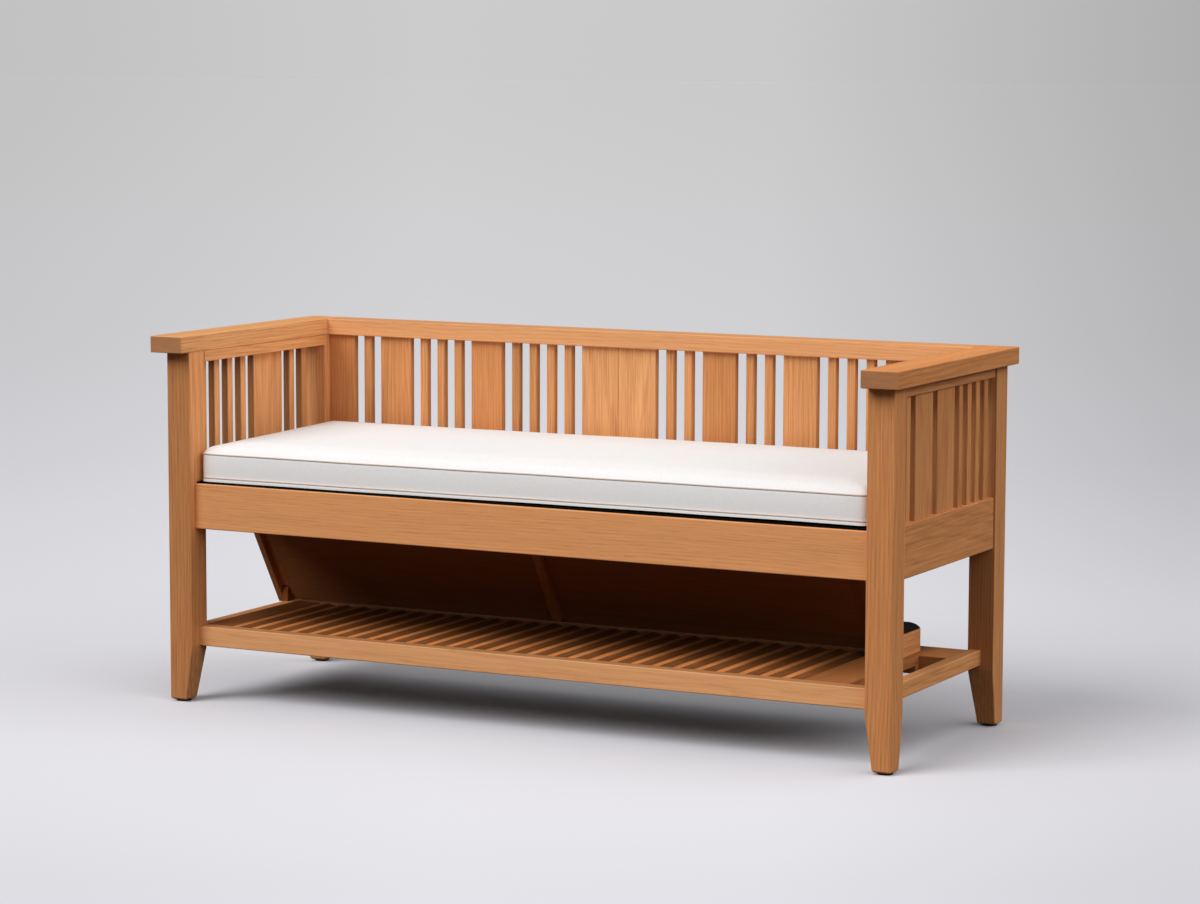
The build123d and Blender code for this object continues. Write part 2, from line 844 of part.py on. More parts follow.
def hinge_cover():
    """The black crowned cover on the hinge block."""
    y = pivot_y - hinge_block_front + hinge_cover_inset
    z = shelf_top + hinge_block_height
    y_end = y + hinge_block_depth - 2 * hinge_cover_inset
    low, top = (y, z), (y, z + hinge_cover_height)
    tail, end = (y_end, z + hinge_cover_tail), (y_end, z)
    with BuildSketch(Plane.YZ.offset(block_x() + hinge_cover_inset)) as profile:
        with BuildLine():
            Line(low, top)
            RadiusArc(top, tail, hinge_cover_radius)
            Line(tail, end)
            Line(end, low)
        make_face()
    return extrude(profile.sketch, hinge_block_width - 2 * hinge_cover_inset)


def hinge_pins():
    gap = pin_running_clearance
    left = Pos(0, pivot_y, pivot_z) * pin_hole(panel_x, bay_left()[0] + pin_depth - mortise_wall, 0)
    reach = hinge_block_width - hinge_pin_wall - gap
    right = pin_hole(panel_end - pin_depth + mortise_wall, block_x() + reach, 0)
    return [left, Pos(0, pivot_y, pivot_z) * right]


# Cushion
def cushion_section(z, inset, corner):
    """One level of the cushion: sides a little drawn in between rounded corners."""
    x = x_in - cushion_side_gap - inset
    y_low = cushion_low_y + inset
    y_high = cushion_high_y - inset
    y_middle = (y_low + y_high) / 2
    draw = cushion_draw
    with BuildSketch(Plane.XY.offset(z)) as section:
        with BuildLine():
            ThreePointArc((-x, y_low), (0, y_low + draw), (x, y_low))
            ThreePointArc((x, y_low), (x - draw, y_middle), (x, y_high))
            ThreePointArc((x, y_high), (0, y_high - draw), (-x, y_high))
            ThreePointArc((-x, y_high), (draw - x, y_middle), (-x, y_low))
        make_face()
        fillet(section.vertices(), corner)
    return section.sketch


def cushion():
    """Flat under, a little narrower between its two seams, and crowned on top."""
    low = board_top + cushion_lift
    rise = cushion_crown - cushion_welt_high
    levels = [
        (0, cushion_bottom_inset),
        (cushion_welt_low, 0),
        ((cushion_welt_low + cushion_welt_high) / 2, cushion_waist),
        (cushion_welt_high, 0),
    ]
    for height_share, inset_share in cushion_crown_shares:
        levels.append((cushion_welt_high + height_share * rise, inset_share * cushion_depth))
    sections = [cushion_section(low + z, inset, cushion_corner) for z, inset in levels]
    return loft(sections, ruled=True)


def parts():
    """Every node's name with its solid or solids."""
    left_slats = side_slats(left_pattern, side_slat_wide_left)
    right_slats = side_slats(right_pattern, side_slat_wide_right)
    arm_left, seat_left, narrow_left, wide_left = side_parts(left_slats)
    arm_right, seat_right, narrow_right, wide_right = side_parts(right_slats)
    named = {
        "post_front_left": post_front_left(),
        "post_front_right": other_end(post_front_left()),
        "post_rear_left": post_rear_left(),
        "post_rear_right": other_end(post_rear_left()),
        "foot_glides": foot_glides(),
        "arm_cap_left": arm_cap_left(),
        "arm_cap_right": other_end(arm_cap_left()),
        "back_cap": back_cap(),
        "arm_rail_left": arm_left,
        "arm_rail_right": other_end(arm_right),
        "seat_rail_front": seat_rail_front(),
        "seat_rail_rear": seat_rail_rear(),
        "seat_rail_left": seat_left,
        "seat_rail_right": other_end(seat_right),
        "side_slat_wide_left": wide_left[0],
        "side_slats_narrow_left": narrow_left,
        "side_slats_narrow_right": [other_end(slat) for slat in narrow_right],
    }
    for i, slat in enumerate(wide_right):
        named[f"side_slat_wide_right_{i + 1}"] = other_end(slat)
    slats = back_slats()
    wide = [(x, width) for letter, run, x, width in slats if letter != "N"]
    for i, (x, width) in enumerate(wide):
        named[f"back_slat_wide_{i + 1}"] = back_slat(x, width)
    runs = sorted({run for letter, run, x, width in slats if letter == "N"})
    groups = {"left": runs[:3], "middle": runs[3:5], "right": runs[5:]}
    for side, group in groups.items():
        solids = [back_slat(x, width) for letter, run, x, width in slats if run in group]
        named[f"back_slats_narrow_{side}"] = solids
    deck = shelf_slats()
    share = math.ceil(len(deck) / 4)
    for i in range(0, len(deck), share):
        named[f"shelf_slats_{i // share + 1}"] = deck[i:i + share]
    named |= {
        "shelf_rail_front": shelf_rail_front(),
        "shelf_rail_rear": shelf_rail_rear(),
        "shelf_stretcher_left": shelf_stretcher_left(),
        "shelf_stretcher_right": other_end(shelf_stretcher_left()),
        "shelf_end_board_left": shelf_end_board_left(),
        "shelf_end_board_right": shelf_end_board_right(),
        "shelf_ledger_front": shelf_ledger(y_front_in),
        "shelf_ledger_rear": shelf_ledger(deck_rear - ledger_width),
        "seat_bearers": seat_bearers(),
        "seat_board": seat_board(),
        "seat_screws": seat_screws(),
        "seat_cleat_left": seat_cleat_left(),
        "seat_cleat_right": other_end(seat_cleat_left()),
        "panel_stile_left": panel_stile_left(),
        "panel_stile_right": panel_stile_right(),
        "panel_muntin": panel_muntin(),
        "panel_rail_top": panel_rail(panel_rise - panel_rail_width),
        "panel_rail_bottom": panel_rail(-panel_tail),
        "panel_board_left": panel_board(bay_left()),
        "panel_board_right": panel_board(bay_right()),
        "hinge_cheek_left": hinge_cheek_left(),
        "hinge_block_right": hinge_block_right(),
        "hinge_cover": hinge_cover(),
        "hinge_pins": hinge_pins(),
        "cushion": cushion(),
    }
    return named


def write(name, shape):
    solids = shape if isinstance(shape, list) else [shape]
    pieces = [solid for item in solids for solid in item.solids()]
    whole = pieces[0] if len(pieces) == 1 else Compound(children=pieces)
    whole.label = name
    export_step(whole, f"parts/{name}.step")


os.makedirs("parts", exist_ok=True)
for node, shape in parts().items():
    write(node, shape)
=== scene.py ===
import math

import bpy
import numpy as np
from mathutils import Matrix, Vector


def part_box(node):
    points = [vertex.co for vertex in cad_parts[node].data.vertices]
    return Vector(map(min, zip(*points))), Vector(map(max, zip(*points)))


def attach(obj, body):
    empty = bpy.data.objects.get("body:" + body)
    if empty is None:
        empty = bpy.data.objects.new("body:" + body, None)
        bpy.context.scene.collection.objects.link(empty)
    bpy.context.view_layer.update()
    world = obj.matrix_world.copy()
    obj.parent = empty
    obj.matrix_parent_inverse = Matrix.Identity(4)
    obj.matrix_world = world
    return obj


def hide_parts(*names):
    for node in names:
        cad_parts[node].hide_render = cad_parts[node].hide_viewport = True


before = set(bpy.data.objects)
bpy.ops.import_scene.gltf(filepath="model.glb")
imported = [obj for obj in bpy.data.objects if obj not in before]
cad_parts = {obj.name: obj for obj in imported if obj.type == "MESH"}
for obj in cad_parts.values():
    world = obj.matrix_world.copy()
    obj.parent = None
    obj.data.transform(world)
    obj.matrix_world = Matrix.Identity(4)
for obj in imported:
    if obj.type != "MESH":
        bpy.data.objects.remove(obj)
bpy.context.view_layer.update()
scene = bpy.context.scene

# Camera of the photograph, in metres and degrees, for an image of 1200 by 904 pixels
CAMERA_PLACE = (2.8533, -5.4174, 1.1786)
CAMERA_YAW = 27.413
CAMERA_PITCH = -6.597
CAMERA_ROLL = 0.157
CAMERA_LENS_PIXELS = 3471.4
CAMERA_CLIP_END = 200.0
IMAGE_WIDTH_PIXELS = 1200
SENSOR_WIDTH = 36.0

# Which way the grain runs on each oak node; the rest run along X
GRAIN_ALONG_Z = (
    "post_", "back_slat", "side_slat", "panel_stile", "panel_muntin", "hinge_cheek",
)
GRAIN_ALONG_Y = (
    "arm_cap", "arm_rail", "seat_rail_left", "seat_rail_right", "shelf_slats", "shelf_end_board",
    "shelf_stretcher", "seat_bearers", "seat_cleat", "hinge_block",
)


def srgb(r, g, b):
    """A colour given as 8-bit sRGB, in the linear values that shaders take."""
    values = []
    for c in (r, g, b):
        c = c / 255
        values.append(c / 12.92 if c <= 0.04045 else ((c + 0.055) / 1.055) ** 2.4)
    return (*values, 1.0)


def add(name, data):
    """Puts a new object into the scene."""
    item = bpy.data.objects.new(name, data)
    scene.collection.objects.link(item)
    return item


class Graph:
    """The node tree of a material or of the world, with short calls for the nodes used here."""

    def __init__(self, name, world=False):
        self.data = (bpy.data.worlds if world else bpy.data.materials).new(name)
        self.data.use_nodes = True
        self.nodes = self.data.node_tree.nodes
        self.links = self.data.node_tree.links
        self.shader = self.nodes["Background" if world else "Principled BSDF"]
        self.coords = self.nodes.new("ShaderNodeTexCoord")

    def link(self, source, target):
        self.links.new(source, target)

    def put(self, value, socket):
        """Links a socket, or sets a plain value."""
        if isinstance(value, bpy.types.NodeSocket):
            self.link(value, socket)
        else:
            socket.default_value = value

    def mapping(self, scale, offset=(0, 0, 0), turn=(0, 0, 0), source=None):
        node = self.nodes.new("ShaderNodeMapping")
        node.inputs["Scale"].default_value = scale
        node.inputs["Location"].default_value = offset
        node.inputs["Rotation"].default_value = turn
        self.link(source or self.coords.outputs["Object"], node.inputs["Vector"])
        return node.outputs["Vector"]

    def noise(self, vector, scale=1.0, detail=2.0, roughness=0.5):
        node = self.nodes.new("ShaderNodeTexNoise")
        node.inputs["Scale"].default_value = scale
        node.inputs["Detail"].default_value = detail
        node.inputs["Roughness"].default_value = roughness
        self.link(vector, node.inputs["Vector"])
        return node.outputs["Fac"]

    def ramp(self, value, stops):
        """A colour ramp from pairs of place and grey value or colour."""
        node = self.nodes.new("ShaderNodeValToRGB")
        ramp = node.color_ramp
        while len(ramp.elements) < len(stops):
            ramp.elements.new(0.5)
        for element, (place, colour) in zip(ramp.elements, stops):
            element.position = place
            if isinstance(colour, (int, float)):
                colour = (colour, colour, colour, 1.0)
            element.color = colour
        self.link(value, node.inputs["Fac"])
        return node.outputs["Color"]

    def mix(self, factor, first, second, mode="MIX"):
        node = self.nodes.new("ShaderNodeMix")
        node.data_type = "RGBA"
        node.blend_type = mode
        self.put(factor, node.inputs["Factor"])
        self.put(first, node.inputs["A"])
        self.put(second, node.inputs["B"])
        return node.outputs["Result"]

    def shade(self, tint, by):
        """A colour multiplied by another."""
        return self.mix(1.0, tint, by, "MULTIPLY")

    def math(self, operation, first, second=0.0, clamp=False):
        node = self.nodes.new("ShaderNodeMath")
        node.operation = operation
        node.use_clamp = clamp
        self.put(first, node.inputs[0])
        self.put(second, node.inputs[1])
        return node.outputs[0]

    def plus(self, first, second, clamp=False):
        return self.math("ADD", first, second, clamp)

    def times(self, first, second):
        return self.math("MULTIPLY", first, second)

    def split(self, vector):
        node = self.nodes.new("ShaderNodeSeparateXYZ")
        self.link(vector, node.inputs[0])
        return node.outputs

    def bump(self, height, relief, below=None):
        """Relief of a strength and a depth in metres, over another relief below it."""
        node = self.nodes.new("ShaderNodeBump")
        node.inputs["Strength"].default_value, node.inputs["Distance"].default_value = relief
        self.link(height, node.inputs["Height"])
        if below is not None:
            self.link(below, node.inputs["Normal"])
        return node.outputs["Normal"]

    def finish(self, colour, roughness, normal, **plain):
        """Feeds the shader, and hands the material back."""
        self.put(colour, self.shader.inputs["Base Color"])
        self.put(roughness, self.shader.inputs["Roughness"])
        if normal is not None:
            self.link(normal, self.shader.inputs["Normal"])
        for name, value in plain.items():
            self.shader.inputs[name.replace("_", " ")].default_value = value
        return self.data


# Oak, as linear colours: the light late wood, the darker early wood, the pores and the end grain.
# The long rails are quieter boards.
OAK_LIGHT = (0.88, 0.405, 0.158, 1)
OAK_DARK = (0.62, 0.245, 0.083, 1)
RAIL_LIGHT = (0.825, 0.372, 0.150, 1)
RAIL_DARK = (0.695, 0.290, 0.109, 1)
OAK_PORE = (0.34, 0.105, 0.030, 1)
OAK_END = (0.38, 0.180, 0.090, 1)
# Where a board lies in its tree: the shift along it, and the distance from the heart, in metres
TREE_SHIFT = 3
HEART_DISTANCE = (0.07, 0.2)
# Growth rings: their width and how far they wander, in metres
RING_WIDTH = 0.0056
RING_WANDER = 0.055
RING_RIPPLE = 0.0045
# Noise scales along and twice across the grain; those of the slats and the end grain along X, Y, Z
WANDER_SCALE = (1.3, 7, 7)
RIPPLE_SCALE = (8, 60, 60)
STREAK_SCALE = (7.5, 420, 420)
PORE_SCALE = (30, 900, 900)
CLOUD_SCALE = (0.9, 16, 16)
SLATS_SCALE = (21, 21, 0.001)
SLATS_SHIFT = (7.3, 3.1)
LAYER_SCALE = (35, 35, 650)
# Ramps from a noise, a phase or a slope to a grey
RING_STOPS = ((0.0, 0.25), (0.16, 0.0), (0.42, 0.75), (0.9, 1.0), (1.0, 0.25))
EARLY_STOPS = ((0.0, 1.0), (0.3, 0.9), (0.5, 0.35), (1.0, 0.35))
FIBRE_STOPS = ((0.36, 0.0), (0.64, 1.0))
PORE_STOPS = ((0.54, 0.0), (0.66, 1.0))
CLOUD_STOPS = ((0.3, 0.93), (0.7, 1.05))
SLATS_STOPS = ((0.3, 0.90), (0.7, 1.06))
PAINTED_SLOPE_SHADE_STOPS = ((0.06, 1.0), (0.2, 0.36))
END_STOPS = ((0.75, 0.0), (0.92, 1.0))
LAYER_STOPS = ((0.4, 0.0), (0.62, 0.45))
OAK_ROUGHNESS = ((0.3, 0.54), (0.7, 0.44))
# Reliefs, here and below, as a strength and a depth in metres
PORE_RELIEF = (0.12, 0.0004)
GRAIN_RELIEF = (0.10, 0.0003)
# What each layer counts for
RING_SHARE = 0.32
FIBRE_SHARE = 0.68
PORE_SHARE = 0.26
END_SHARE = 0.8
# Powers of the painted face shade for red, green and blue: a face painted darker is painted redder
# too, as painted light bounced between the oak boards
PAINTED_BOUNCE_POWERS = (1.0, 1.12, 1.22)


def oak(name, axis, seed, tones_and_painted_shade, several, sloped, painted_shadow, shine):
    """Oiled oak with its grain along one axis.

    seed moves the tree. The tones hold the painted shade of the faces across X, Y and Z, which
    stands in for how the light falls on each side, and a hue, below one for browner wood. several
    marks a node of more than one board, and sloped one whose tops fall to the side and are painted
    darker there as shade. The painted shadow, last but one, tells how the tops are painted darker
    as the shadow under the panel: an axis, a shift, and stops along it.
    """
    g = Graph(name)
    quarter = math.radians(90)
    turn = {"X": (0, 0, 0), "Y": (0, 0, quarter), "Z": (0, quarter, 0)}[axis]
    rng = np.random.default_rng(seed)
    shift = rng.uniform(-TREE_SHIFT, TREE_SHIFT)
    far, angle = rng.uniform(*HEART_DISTANCE), rng.uniform(0, 2 * math.pi)
    along = g.mapping((1, 1, 1), (shift, far * math.cos(angle), far * math.sin(angle)), turn)
    # Growth rings round a distant heart, which wander along the board
    wander = g.noise(g.mapping(WANDER_SCALE, (seed, 0, 0), source=along), roughness=0.45)
    ripple = g.noise(g.mapping(RIPPLE_SCALE, (0, seed, 0), source=along))
    y, z = g.split(along)[1:3]
    radius = g.math("SQRT", g.plus(g.times(y, y), g.times(z, z)))
    radius = g.plus(radius, g.times(wander, RING_WANDER))
    radius = g.plus(radius, g.times(ripple, RING_RIPPLE))
    phase = g.math("FRACT", g.math("DIVIDE", radius, RING_WIDTH))
    ring = g.ramp(phase, RING_STOPS)
    # Fine streaks and pores along the grain; the pores gather in the early wood
    streak = g.noise(g.mapping(STREAK_SCALE, source=along), detail=3.0, roughness=0.65)
    pores = g.noise(g.mapping(PORE_SCALE, source=along), roughness=0.55)
    fibre = g.ramp(streak, FIBRE_STOPS)
    grain = g.plus(g.times(ring, RING_SHARE), g.times(fibre, FIBRE_SHARE), True)
    dark, light = (RAIL_DARK, RAIL_LIGHT) if axis == "X" else (OAK_DARK, OAK_LIGHT)
    tint = g.mix(grain, dark, light)
    dash = g.times(g.ramp(pores, PORE_STOPS), g.ramp(phase, EARLY_STOPS))
    tint = g.mix(g.times(dash, PORE_SHARE), tint, OAK_PORE)
    # Broad shade along the board
    cloud = g.noise(g.mapping(CLOUD_SCALE, (0, 0, seed), source=along))
    tint = g.shade(tint, g.ramp(cloud, CLOUD_STOPS))
    # Slats that share a node differ from each other in shade
    if several:
        place = (seed * SLATS_SHIFT[0], seed * SLATS_SHIFT[1], 0)
        slats = g.noise(g.mapping(SLATS_SCALE, place), detail=0.0)
        tint = g.shade(tint, g.ramp(slats, SLATS_STOPS))
    # Painted shade: faces across X, Y and Z are painted darker or lighter by how the light falls on
    # them
    normal = g.split(g.coords.outputs["Normal"])
    *faces, hue = tones_and_painted_shade
    level = 0.0
    for part, painted_face_shade in zip(normal, faces):
        level = g.plus(level, g.times(g.times(part, part), painted_face_shade))
    levels = g.nodes.new("ShaderNodeCombineXYZ")
    for socket, power in zip(levels.inputs, PAINTED_BOUNCE_POWERS):
        g.link(g.math("POWER", level, power), socket)
    tint = g.shade(tint, levels.outputs[0])
    tint = g.shade(tint, (1, hue, hue * hue, 1))
    # Painted shade: the falling sides of the slat tops are painted darker, as the shade between the
    # slats
    if sloped:
        tint = g.shade(tint, g.ramp(g.math("ABSOLUTE", normal["X"]), PAINTED_SLOPE_SHADE_STOPS))
    # Painted shadow: the tops are painted darker along an axis, as the shadow under the panel
    if painted_shadow:
        across, shift, stops = painted_shadow
        place = g.plus(g.split(g.coords.outputs["Object"])[across], shift)
        top = g.times(normal["Z"], normal["Z"])
        tint = g.mix(top, tint, g.shade(tint, g.ramp(place, stops)))
    # End grain
    end = g.ramp(g.math("ABSOLUTE", normal[axis]), END_STOPS)
    layers = g.noise(g.mapping(LAYER_SCALE))
    end_tint = g.mix(g.ramp(layers, LAYER_STOPS), OAK_END, OAK_DARK)
    tint = g.mix(g.times(end, END_SHARE), tint, end_tint)
    roughness = g.ramp(streak, OAK_ROUGHNESS)
    relief = g.bump(grain, GRAIN_RELIEF, g.bump(pores, PORE_RELIEF))
    return g.finish(tint, roughness, relief, IOR=1.45, Specular_IOR_Level=shine)


# Black finishes: material, grey, roughness, scale of the fine texture, and shine
BLACKS = {
    # The seat board is black, and its black edge also stands in for the shade under the cushion's
    # front
    "seat_board": ("black_seat_board_and_shade", 0.0015, 0.7, 700, 0.06),
    "hinge_cover": ("black_enamel", 0.003, 0.3, 1500, 0.4),
    "foot_glides": ("black_nylon", 0.010, 0.5, 900, 0.3),
}
# Their darkest and lightest tint, in parts of the grey, and the spread of their roughness
BLACK_LOW = (1.0, 1.0, 0.96)
BLACK_HIGH = (1.9, 1.85, 1.75)
BLACK_SPREAD = ((0.3, -0.06), (0.7, 0.08))
BLACK_RELIEF = (0.15, 0.0003)
STEELS = {"hinge_pins": "pin_steel", "seat_screws": "screw_steel"}
STEEL_GREY = srgb(150, 150, 152)
STEEL_SCALE = (40, 900, 900)
STEEL_ROUGHNESS = ((0.3, 0.28), (0.7, 0.42))
STEEL_RELIEF = (0.05, 0.0001)


def plain_black(name, grey, roughness, grain_scale, shine):
    """A black finish with a fine texture."""
    g = Graph(name)
    fine = g.noise(g.coords.outputs["Object"], grain_scale, 3.0)
    dark, light = ((*(grey * part for part in parts), 1) for parts in (BLACK_LOW, BLACK_HIGH))
    tint = g.mix(fine, dark, light)
    rough = g.ramp(fine, [(place, roughness + more) for place, more in BLACK_SPREAD])
    return g.finish(tint, rough, g.bump(fine, BLACK_RELIEF), Specular_IOR_Level=shine)


def steel(name):
    """Steel with fine marks along X."""
    g = Graph(name)
    lines = g.noise(g.mapping(STEEL_SCALE))
    rough = g.ramp(lines, STEEL_ROUGHNESS)
    return g.finish(STEEL_GREY, rough, g.bump(lines, STEEL_RELIEF), Metallic=1.0)


# Cotton of the cushion: colours, and the repeat of the weave in metres
CANVAS_WHITE = srgb(245, 243, 242)
CANVAS_WEAVE = 0.0011
PIPING_BEIGE = srgb(214, 194, 180)
PIPING_WEAVE = 0.0009
SLUB_SCALE = (260, 30, 260)
SLUB_STOPS = ((0.35, 0.55), (0.65, 1.0))
THREAD_SHADE = 0.93
COTTON_CLOUD_SCALE = 7.0
COTTON_CLOUD_SHARE = 0.12
COTTON_ROUGHNESS = 0.92
SLUB_RELIEF = (0.04, 0.0003)
WEAVE_RELIEF = (0.02, 0.0002)


def canvas(name, colour, weave):
    """Plain-woven cotton: two crossing sets of threads, with a little unevenness."""
    g = Graph(name)
    x, y, z = g.split(g.coords.outputs["Object"])
    turns = 2 * math.pi / weave
    warp = g.math("SINE", g.times(x, turns))
    weft = g.math("SINE", g.times(g.plus(y, z), turns))
    threads = g.times(warp, weft)
    slub = g.noise(g.mapping(SLUB_SCALE))
    cloud = g.noise(g.coords.outputs["Object"], COTTON_CLOUD_SCALE, 3.0)
    dark = tuple(c * THREAD_SHADE for c in colour[:3]) + (1.0,)
    tint = g.mix(g.ramp(slub, SLUB_STOPS), dark, colour)
    tint = g.mix(g.times(cloud, COTTON_CLOUD_SHARE), tint, dark)
    normal = g.bump(slub, SLUB_RELIEF, g.bump(threads, WEAVE_RELIEF))
    return g.finish(
        tint, COTTON_ROUGHNESS, normal,
        Sheen_Weight=0.18, Sheen_Roughness=0.5, Specular_IOR_Level=0.2,
    )


# Tone and painted shade of the boards: factors for faces across X, Y and Z, which paint how the
# light falls on each side of each board and also set its tone, and the hue, below one for browner
# wood. The low factors and browner hues of the panel, the shelf and the pieces under the seat are
# painted shade of the space under the seat.
# In this table and in the next one the first name that fits counts.
TONES_AND_PAINTED_SHADE = (
    ("post_front_left", (1.12, 0.74, 0.9, 0.97)),
    ("post_front_right", (1.04, 0.86, 0.9, 0.94)),
    ("post_rear_right", (0.98, 0.60, 0.8, 1.0)),
    ("post_rear_left", (1.1, 1.0, 0.9, 1.02)),
    ("arm_cap_left", (1.12, 0.98, 1.13, 1.06)),
    ("arm_cap_right", (0.98, 0.72, 1.04, 0.92)),
    ("arm_rail_left", (1.08, 1.0, 1.0, 1.03)),
    ("side_slats_narrow_left", (1.12, 0.45, 1.0, 1.06)),
    ("side_slat_wide_left", (1.12, 0.5, 1.0, 1.06)),
    ("side_slats_narrow_right", (0.95, 0.5, 1.0, 0.97)),
    ("side_slat_wide_right", (0.95, 0.5, 1.0, 0.97)),
    ("seat_rail_front", (1.0, 1.04, 1.0, 0.995)),
    ("seat_rail_right", (0.90, 1.0, 1.0, 0.96)),
    ("back_slat_wide_4", (1.0, 0.94, 1.0, 1.08)),
    ("back_slat_wide_5", (1.0, 0.96, 1.0, 1.09)),
    ("back_slat_wide_2", (1.0, 0.86, 1.0, 1.01)),
    ("back_slat_wide_7", (1.0, 0.92, 1.0, 1.03)),
    ("back_slats", (0.96, 0.87, 1.0, 1.01)),
    ("back_slat", (1.0, 0.84, 1.0, 0.95)),
    ("back_cap", (1.0, 1.06, 1.0, 1.06)),
    ("panel_stile_left", (0.7, 0.50, 0.4, 0.93)),
    ("panel_muntin", (0.7, 0.56, 0.4, 0.93)),
    ("panel_", (0.5, 0.40, 0.3, 0.97)),
    ("hinge_cheek", (0.4, 0.3, 0.3, 0.85)),
    ("shelf_slats", (0.6, 0.9, 1.10, 0.82)),
    ("shelf_end_board_left", (0.6, 0.8, 0.42, 0.85)),
    ("shelf_end_board_right", (0.6, 0.8, 0.6, 0.88)),
    ("shelf_ledger", (0.4, 0.4, 0.4, 0.85)),
    ("shelf_rail_front", (1.0, 1.10, 0.75, 1.08)),
    ("shelf_rail_rear", (0.8, 0.5, 1.0, 0.92)),
    ("seat_bearers", (0.5, 0.5, 0.5, 0.85)),
    ("hinge_block", (1.08, 1.1, 1.0, 1.0)),
)
EVEN_TONE_AND_SHADE = (1.0, 1.0, 1.0, 1.0)
# Painted shadow: the wood under the panel is painted darker, as the shadow under it: the slats
# towards the rear, and the rear rail up to the panel's right end. Each row holds an axis, a shift
# along it, and stops.
SLAT_PAINTED_SHADOW = (1, 0.5, ((0.36, 1.0), (0.50, 0.36)))
RAIL_PAINTED_SHADOW = (0, 0.0, ((0.58, 0.32), (0.62, 1.0)))
PAINTED_SHADOWS = (
    ("shelf_slats", SLAT_PAINTED_SHADOW),
    ("shelf_end_board_left", SLAT_PAINTED_SHADOW),
    ("shelf_rail_rear", RAIL_PAINTED_SHADOW),
)
SEVERAL_BOARDS = ("back_slats", "side_slats", "shelf_slats", "seat_bearers")
SLOPED_BOARDS = "shelf_slats"
DULL_BOARDS = ("shelf_slats", "shelf_rail_rear", "shelf_end_board_left", "panel_", "hinge_cheek")
DULL_SHINE = 0.04
OILED_SHINE = 0.2


def first_fit(table, node, default):
    """The value of the first row whose name begins the node's name."""
    for start, value in table:
        if node.startswith(start):
            return value
    return default


def grain_axis(node):
    if node.startswith(GRAIN_ALONG_Z):
        return "Z"
    return "Y" if node.startswith(GRAIN_ALONG_Y) else "X"


def board_of(node, seed):
    """The oak of one node."""
    return oak(
        f"oak_{node}",
        grain_axis(node),
        seed,
        first_fit(TONES_AND_PAINTED_SHADE, node, EVEN_TONE_AND_SHADE),
        node.startswith(SEVERAL_BOARDS),
        node.startswith(SLOPED_BOARDS),
        first_fit(PAINTED_SHADOWS, node, None),
        DULL_SHINE if node.startswith(DULL_BOARDS) else OILED_SHINE,
    )


def paint_frame():
    """Each oak node gets its own board of oak, and the small pieces their finishes."""
    finishes = {node: plain_black(*values) for node, values in BLACKS.items()}
    finishes.update((node, steel(name)) for node, name in STEELS.items())
    for i, node in enumerate(sorted(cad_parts)):
        if node != "cushion":
            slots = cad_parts[node].data.materials
            slots.clear()
            slots.append(finishes[node] if node in finishes else board_of(node, i + 1))


# Cushion, in metres. Its heights count from the bottom of its CAD solid.
SEAM_LOW = 0.0068
SEAM_HIGH = 0.0502
SHOULDER = 0.0148
SHOULDER_REACH = 0.0085
DOME = 0.0035
DOME_REACH = 0.05
REAR_RISE = 0.0092
RIGHT_RISE = 0.0030
RIGHT_RISE_START = -0.45
RIGHT_RISE_RUN = 0.75
TUCK_REACH = 0.012
SEAM_WAVE = 0.0003
SEAM_WAVE_SHORT = 19
SEAM_WAVE_LONG = 7
CUSHION_CORNER = 0.015
REACH_LEFT = 0.004
SHORT_RIGHT = 0.002
REACH_REAR = 0.0065
GRID = 0.0085
EDGE_ROWS = (0, 0.0022, 0.005, 0.0085, 0.013, 0.019, 0.026)
BOTTOM_FLARE = 0.0010
BOXING_BOW = 0.0006
BOXING_ROWS = 7
# Heights and outward bulges of the rows from the bottom to the lower seam
LOW_ROWS = ((0.0016, BOTTOM_FLARE), (0.0042, 0.0007), (SEAM_LOW, 0.0))
# How near to an edge of the cushion a point bulges across that edge
EDGE_BAND = 0.02
WELT_RADIUS = 0.0014
# How long the cover fills, how often its moves are evened out, and how far they may go
FILLING_STEPS = 20
EVEN_STEPS = 12
SWELL_CAP = 0.0018
BOXING_CAP = 0.0012
TINY = 1e-9


def rounded(points, half, corner):
    """Moves the points of a flat rectangle so that its corners are round."""
    inner = np.array(half) - corner
    beyond = np.abs(points) - inner
    both = (beyond > 0).all(axis=1)
    reach = beyond[both].max(axis=1)
    length = np.linalg.norm(beyond[both], axis=1)
    length[length == 0] = 1
    moved = inner + beyond[both] * (reach / length)[:, None]
    points = points.copy()
    points[both] = np.sign(points[both]) * moved
    return points


def stations(half):
    """Rows of the grid from one edge to the other, close together near both edges."""
    inner = half - EDGE_ROWS[-1]
    middle = np.linspace(-inner, inner, int(2 * inner / GRID) + 1)
    edge = half - np.array(EDGE_ROWS[:-1])
    return np.concatenate((-edge, middle, edge[::-1]))


